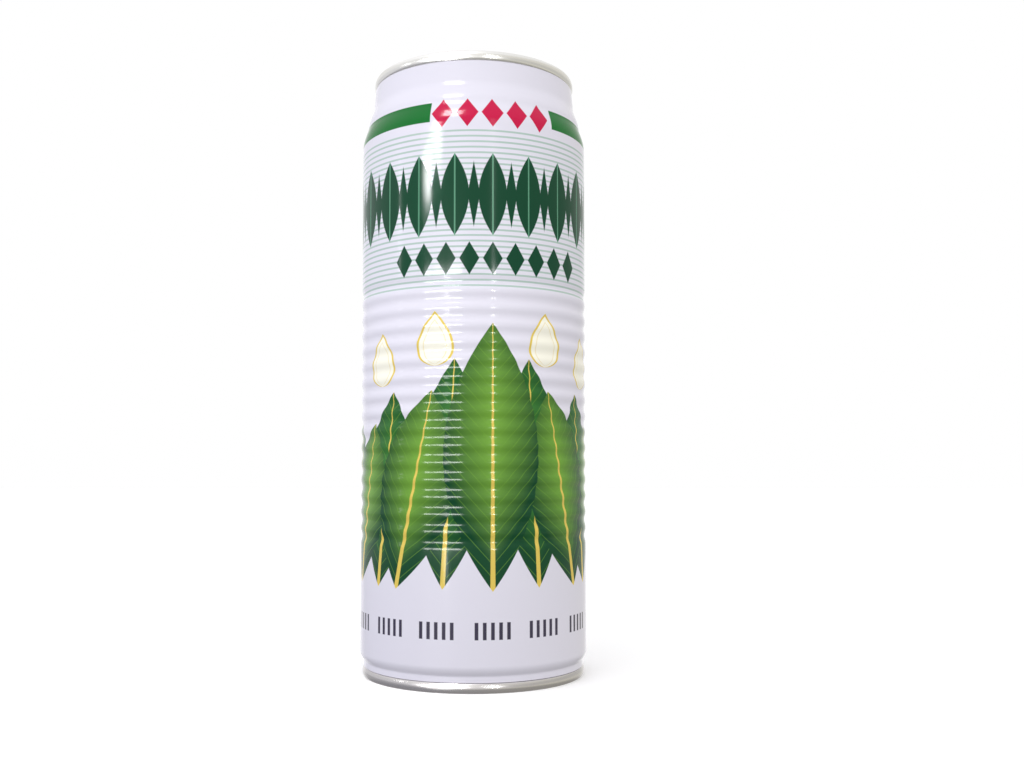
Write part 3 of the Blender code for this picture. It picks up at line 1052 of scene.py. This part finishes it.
def print_leaf(tree, ink, across, up, lean, half_width, half_length, deep, light):
    """A leaf with deep edges, a pale rib and fine veins."""
    x, y = own_frame(tree, across, up, lean)
    inside = inside_leaf(tree, x, y, half_width, half_length)
    upwards = LEAF_TIP_LIGHT / half_length
    inwards = LEAF_MIDDLE_LIGHT / half_width
    share = add_node(tree, "Math", y, upwards, LEAF_LEAST_LIGHT, operation="MULTIPLY_ADD")
    share = add_node(
        tree, "Math", inside, inwards, share, operation="MULTIPLY_ADD", use_clamp=True
    )
    blade = overprint(tree, linear(INKS[deep]), INKS[light], share)
    out = distance_from(tree, x, 0.0)
    slant = add_node(tree, "Math", out, -VEIN_SLANT, y, operation="MULTIPLY_ADD")
    vein_place = repeated(tree, slant, VEIN_PITCH)
    vein = inside_band(tree, vein_place, -VEIN_HALF_WIDTH, VEIN_HALF_WIDTH)
    vein = add_node(tree, "Math", inked(tree, vein), VEIN_SHARE, operation="MULTIPLY")
    blade = overprint(tree, blade, INKS["leaf light"], vein)
    taper = -LEAF_RIB_TAPER / half_length
    rib_width = add_node(tree, "Math", y, taper, LEAF_RIB_HALF_WIDTH, operation="MULTIPLY_ADD")
    rib = past(tree, rib_width, out)
    blade = overprint(tree, blade, INKS["yellow"], inked(tree, rib))
    return overprint(tree, ink, blade, inked(tree, inside))


def print_drop(tree, ink, across, up, half_width, length):
    """A cream drop with a yellow outline."""
    x, y = own_frame(tree, across, up, 0.0)
    inside = inside_drop(tree, x, y, half_width, length)
    ink = overprint(tree, ink, INKS["yellow"], inked(tree, inside))
    ink = overprint(tree, ink, INKS["cream"], inked(tree, past(tree, inside, DROP_BORDER)))
    line = inked(tree, inside_band(tree, inside, *DROP_LINE))
    line = add_node(tree, "Math", line, DROP_LINE_SHARE, operation="MULTIPLY")
    return overprint(tree, ink, INKS["yellow"], line)


for leaf in BACK_LEAVES:
    ink = print_leaf(tree, ink, *leaf, "leaf dark", "leaf mid")
for leaf in FRONT_LEAVES:
    ink = print_leaf(tree, ink, *leaf, "leaf dark", "leaf light")
for drop in DROPS:
    ink = print_drop(tree, ink, *drop)
tree.links.new(ink, print_shader.inputs["Base Color"])
print("print nodes:", len(tree.nodes))

# %% [markdown]
# Clear lacquer is a coat over the ink. Cans are rolled from thin sheet, so the coat isn't
# quite flat: long shallow waves run round the wall and bend what it reflects, and a fine
# orange-peel texture softens the edge of every highlight. Lacquer has an IOR of about
# 1.5. It is matched at 1.3, because in a room this pale the film would veil the inks.

# %% Lacquer the wall
ORANGE_PEEL = 1.6
PEEL_STRENGTH = 0.01
PEEL_DEPTH = 0.01
SHEET_WAVE = 11.0
SHEET_WAVE_LENGTH = 70.0
WAVE_STRENGTH = 0.018
WAVE_DEPTH = 0.1
FILM_ROUGHNESS = 0.13
FILM_IOR = 1.3

wave_scale = (1 / (SHEET_WAVE * MM), 1 / (SHEET_WAVE * MM), 1 / (SHEET_WAVE_LENGTH * MM))
wave_place = add_node(tree, "Mapping", place, (0, 0, 0), (0, 0, 0), wave_scale)
waves = add_node(tree, "TexNoise", wave_place, None, 1.0, 1.0)
peel = add_node(tree, "TexNoise", place, None, 1 / (ORANGE_PEEL * MM), 2.0)
wave_bump = add_node(tree, "Bump", WAVE_STRENGTH, WAVE_DEPTH * MM, None, waves)
peel_bump = add_node(tree, "Bump", PEEL_STRENGTH, PEEL_DEPTH * MM, None, peel, wave_bump)
tree.links.new(peel_bump, print_shader.inputs["Normal"])
tree.links.new(peel_bump, print_shader.inputs["Coat Normal"])
print_shader.inputs["Coat Weight"].default_value = 1.0
print_shader.inputs["Specular IOR Level"].default_value = 0.0
print_shader.inputs["Coat Roughness"].default_value = FILM_ROUGHNESS
print_shader.inputs["Coat IOR"].default_value = FILM_IOR
wall.data.materials.append(print_finish)
print("nodes in the printed finish:", len(tree.nodes))

# %% [markdown]
# Aluminium end stock is rolled, and the rolls leave fine straight grain in one direction
# that survives the press. The real grain is a few hundredths of a millimetre apart, far
# too fine for the picture, so it is drawn at a fifth of a millimetre. It fades out at
# the seams, because the seaming roll irons them smooth.

# %% Finish the metal parts
GRAIN_PITCH = 0.2
GRAIN_LENGTH = 9.0
GRAIN_DEPTH = 0.01
NO_GRAIN = 0.5
IRONED_EDGE = 2.0
NO_RIM = 100.0
CLOUD = 12.0
CLOUD_SHADE = 0.96
NOISE_LOW = 0.3
NOISE_HIGH = 0.7
SMOOTHER = 0.02
ROUGHER = 0.03


def rolled_metal(name, colour, roughness, grain, rim=NO_RIM):
    """Rolled sheet metal. Its grain bends reflections a little, out to the ironed rim."""
    finish, tree, shader = new_finish(name, metallic=1.0)
    place = add_node(tree, "TexCoord").node.outputs["Object"]
    stretch = (1 / (GRAIN_PITCH * MM), 1 / (GRAIN_LENGTH * MM), 1 / (GRAIN_LENGTH * MM))
    along = add_node(tree, "Mapping", place, (0, 0, 0), (0, 0, 0), stretch)
    lines = add_node(tree, "TexNoise", along, None, 1.0, 2.0)
    cloud = add_node(tree, "TexNoise", place, None, 1 / (CLOUD * MM), 2.0)
    tone = add_node(tree, "MapRange", cloud, NOISE_LOW, NOISE_HIGH, CLOUD_SHADE, 1.0)
    shade = add_node(
        tree, "Mix", 1.0, linear(colour), tone, data_type="RGBA", blend_type="MULTIPLY"
    )
    tree.links.new(shade, shader.inputs["Base Color"])
    level = add_node(tree, "Mapping", place, (0, 0, 0), (0, 0, 0), (1, 1, 0))
    radius = add_node(tree, "VectorMath", level, operation="LENGTH").node.outputs["Value"]
    fade = add_node(tree, "MapRange", radius, (rim - IRONED_EDGE) * MM, rim * MM, 1.0, 0.0)
    lines = add_node(tree, "Mix", fade, NO_GRAIN, lines)
    least, most = roughness - SMOOTHER, roughness + ROUGHER
    rough = add_node(tree, "MapRange", lines, NOISE_LOW, NOISE_HIGH, least, most)
    tree.links.new(rough, shader.inputs["Roughness"])
    bump = add_node(tree, "Bump", grain, GRAIN_DEPTH * MM, None, lines)
    tree.links.new(bump, shader.inputs["Normal"])
    return finish


LID_IRONED = 27.5
BASE_IRONED = 30.0

# Bright end stock is a slightly milky mirror, so its rim shows soft bands of the room.
lid_metal = rolled_metal("rolled aluminium end stock", "#E6E5E1", 0.22, 0.1, LID_IRONED)
lid.data.materials.append(lid_metal)
# Tab stock is the same metal rolled harder, so it is smoother and its glints are tighter.
tab.data.materials.append(rolled_metal("rolled aluminium tab stock", "#E2E2E0", 0.16, 0.15))
# A tinplate end is lacquered against rust, which leaves it a little darker than the lid.
base_metal = rolled_metal("lacquered tinplate end", "#CFCCCB", 0.22, 0.1, BASE_IRONED)
base_end.data.materials.append(base_metal)
# Bare tinplate has a soft grey shine, and its grain catches the light along the weld.
weld.data.materials.append(rolled_metal("bare tinplate", "#C9C8C5", 0.28, 0.3))
print("finishes:", sorted(material.name for material in bpy.data.materials))

# %% [markdown]
# The can stands on a plain pale floor in a plain pale room. Light falls from a window to
# the left behind the camera, whose three panes show as short dashes on every bead, and
# from a skylight that shows on the neck. A lamp with a grid in front of it draws the
# bright streak on the upper wall. The grid narrows its beam, which keeps it off the
# beads. Narrow lamps draw the fine lines and dots, and one broad glow close by shades
# the ink and doesn't show in the lacquer. All are area lights with a set radiance.

# %% Light the can
PANE_DISTANCE = 1.4
CAN_MIDDLE = 90.0
NO_GRID = 180.0
# An area light with this many watts for each square metre has a radiance of one.
WATTS_PER_RADIANCE = 4


def add_pane(
    name, bearing, elevation, width, height, radiance, glossy=True, distance=PANE_DISTANCE,
    aim=CAN_MIDDLE, spread=NO_GRID,
):
    """An area light facing a place on the can's axis, placed and sized by angles in degrees
    seen from there. A small spread is a grid in front of it, which narrows its beam."""
    flat = math.cos(math.radians(elevation))
    across = -math.sin(math.radians(bearing)) * flat
    ahead = -math.cos(math.radians(bearing)) * flat
    away = Vector((across, ahead, math.sin(math.radians(elevation))))
    data = bpy.data.lights.new(name, "AREA")
    data.shape = "RECTANGLE"
    data.size = 2 * distance * math.tan(math.radians(width / 2))
    data.size_y = 2 * distance * math.tan(math.radians(height / 2))
    data.spread = math.radians(spread)
    slope = math.tan(data.spread / 2)
    gathered = slope / (slope - data.spread / 2) if spread < NO_GRID else 1.0
    area = data.size * data.size_y
    data.energy = WATTS_PER_RADIANCE * area * radiance / gathered
    pane = bpy.data.objects.new(name, data)
    bpy.context.scene.collection.objects.link(pane)
    pane.location = Vector((0.0, 0.0, aim * MM)) + away * distance
    pane.rotation_euler = away.to_track_quat("Z", "Y").to_euler()
    pane.visible_camera = False
    pane.visible_glossy = glossy
    pane.visible_diffuse = not glossy


add_pane("pane_left", 45.8, 3.9, 7.0, 10.5, 20.0)
add_pane("pane_middle", 34.3, 3.9, 11.7, 10.5, 20.0)
add_pane("pane_right", 18.9, 3.9, 13.8, 10.5, 22.0)
add_pane("skylight", 25.0, 45.0, 15.0, 14.0, 32.0)
add_pane("grid_lamp", 36.6, 16.6, 11.3, 4.6, 43.0, distance=0.313, aim=147.5, spread=16.0)
add_pane("grid_lamp_foot", 45.6, 14.1, 8.5, 3.9, 90.0, distance=0.309, aim=137.2, spread=16.0)
add_pane("lamp_right", -19.0, 13.0, 1.8, 28.0, 5.0)
add_pane("lamp_far", 79.0, 13.0, 2.0, 10.0, 6.0)
add_pane("lamp_dots", -19.6, 3.9, 2.2, 10.5, 38.0)
add_pane("lamp_stand", 25.8, -3.0, 3.4, 26.0, 14.0, distance=0.3)
add_pane("window_glow", 20.0, 18.0, 104.0, 34.0, 0.93, glossy=False, distance=0.18)
print("lights:", sorted(light.name for light in bpy.data.lights))

# %% [markdown]
# The room has to look white behind the can and still give its bright metal something
# dark to reflect. So the world is pure white where the camera sees it, an even soft light
# for matt surfaces, and a dim room with a bright ceiling for mirror-like ones.

# %% Helpers for the room
world = bpy.data.worlds.new("room")
bpy.context.scene.world = world
world.use_nodes = True
world.cycles.sampling_method = "NONE"
room = world.node_tree
room.nodes.clear()
heading = add_node(room, "TexCoord").node.outputs["Generated"]
sides = add_node(room, "SeparateXYZ", heading).node
rightwards = add_node(room, "MapRange", sides.outputs["X"], -1.0, 1.0, 0.0, 1.0)
upwards = sides.outputs["Z"]


def from_left_to_right(left, right):
    return add_node(room, "Mix", rightwards, (*left, 1.0), (*right, 1.0), data_type="RGBA")


def from_below_to_above(low, high, below, above):
    """Changes from one colour to another between two elevations in degrees."""
    ends = [math.sin(math.radians(angle)) for angle in (low, high)]
    climb = add_node(room, "MapRange", upwards, *ends, 0.0, 1.0)
    return add_node(room, "Mix", climb, below, above, data_type="RGBA")


print("room nodes so far:", len(room.nodes))

# %% [markdown]
# Matt ink takes light from all round, so it gets a plain soft room: a sky that is a
# little cooler on the left, a paler floor, and darkness under the can's own foot.

# %% Colour the room for matt surfaces
sky = from_left_to_right((1.05, 1.06, 1.13), (1.0, 0.98, 0.95))
ground = from_left_to_right((0.75, 0.75, 0.81), (0.74, 0.73, 0.7))
underfoot = from_left_to_right((0.1, 0.1, 0.11), (0.1, 0.1, 0.1))
soft = from_below_to_above(-58.0, -20.0, underfoot, ground)
soft = from_below_to_above(-12.0, 0.0, soft, sky)
print("soft room done, nodes:", len(room.nodes))

# %% [markdown]
# Metal and lacquer mirror the room, so they get its parts: a table with a paler edge and
# a sunlit patch, a dim middle, a paler far wall, a bright ceiling and a backdrop. The
# steps between them are the bands that show in the seams.

# %% Colour the room for mirror-like surfaces
SUNLIT = (1.25, 1.25, 1.25, 1.0)
SUNLIT_WAY = (-0.56, -0.81, -0.17)
SUNLIT_EDGES = (18, 12)
BACKDROP_EDGES = (0.78, 0.93)

table = from_left_to_right((0.36, 0.36, 0.4), (0.42, 0.41, 0.37))
table_edge = from_left_to_right((0.5, 0.5, 0.54), (0.8, 0.78, 0.69))
dim_room = from_left_to_right((0.84, 0.84, 0.88), (0.64, 0.63, 0.6))
far_wall = from_left_to_right((0.98, 0.98, 1.0), (0.82, 0.8, 0.74))
ceiling = from_left_to_right((1.25, 1.25, 1.3), (1.0, 1.0, 1.0))
shiny = from_below_to_above(-22.0, -13.0, table, table_edge)
towards = add_node(room, "VectorMath", heading, SUNLIT_WAY, operation="DOT_PRODUCT").node
outer, inner = [math.cos(math.radians(angle)) for angle in SUNLIT_EDGES]
sunlit = add_node(room, "MapRange", towards.outputs["Value"], outer, inner, 0.0, 1.0)
shiny = add_node(room, "Mix", sunlit, shiny, SUNLIT, data_type="RGBA")
shiny = from_below_to_above(-6.0, -4.0, shiny, dim_room)
shiny = from_below_to_above(13.0, 18.0, shiny, far_wall)
shiny = from_below_to_above(30.0, 42.0, shiny, ceiling)
backdrop = from_left_to_right((1.25, 1.25, 1.3), (0.85, 0.84, 0.8))
away = add_node(room, "MapRange", sides.outputs["Y"], *BACKDROP_EDGES, 0.0, 1.0)
shiny = add_node(room, "Mix", away, shiny, backdrop, data_type="RGBA")
print("mirrored room done, nodes:", len(room.nodes))

# %% [markdown]
# The Light Path node tells what kind of ray asks. A glossy ray gets the mirrored room,
# any other ray the soft one, and the camera plain white.

# %% Join the rooms
kind = add_node(room, "LightPath").node
lit = add_node(room, "Mix", kind.outputs["Is Glossy Ray"], soft, shiny, data_type="RGBA")
white = linear("#FFFFFF")
seen = add_node(room, "Mix", kind.outputs["Is Camera Ray"], lit, white, data_type="RGBA")
light = add_node(room, "Background", seen, 1.0)
output = room.nodes.new("ShaderNodeOutputWorld")
room.links.new(light, output.inputs["Surface"])
bpy.context.scene.view_settings.view_transform = "Standard"
print("room nodes:", len(room.nodes))

# %% [markdown]
# The floor catches the can's soft shadow. It glows a little, to stay as white as the
# room behind it. It is kept out of reflections and bounced light, because the room's own
# colours already hold the table that the can would see.

# %% Lay the floor
FLOOR_HALF = 3.0
FLOOR_GLOW = 0.06
bpy.ops.object.select_all(action="DESELECT")
bpy.ops.mesh.primitive_plane_add(size=2 * FLOOR_HALF)
floor = bpy.context.active_object
floor.name = "floor"
# White laminate is matt and bright, so it shows a shadow and no mirror image.
floor_finish, _, floor_shader = new_finish("matt white laminate", roughness=0.7)
floor_shader.inputs["Base Color"].default_value = linear("#FCFCFC")
floor_shader.inputs["Emission Color"].default_value = linear("#FFFFFF")
floor_shader.inputs["Emission Strength"].default_value = FLOOR_GLOW
floor.data.materials.append(floor_finish)
floor.visible_glossy = False
floor.visible_diffuse = False
print("floor side in m:", 2 * FLOOR_HALF)
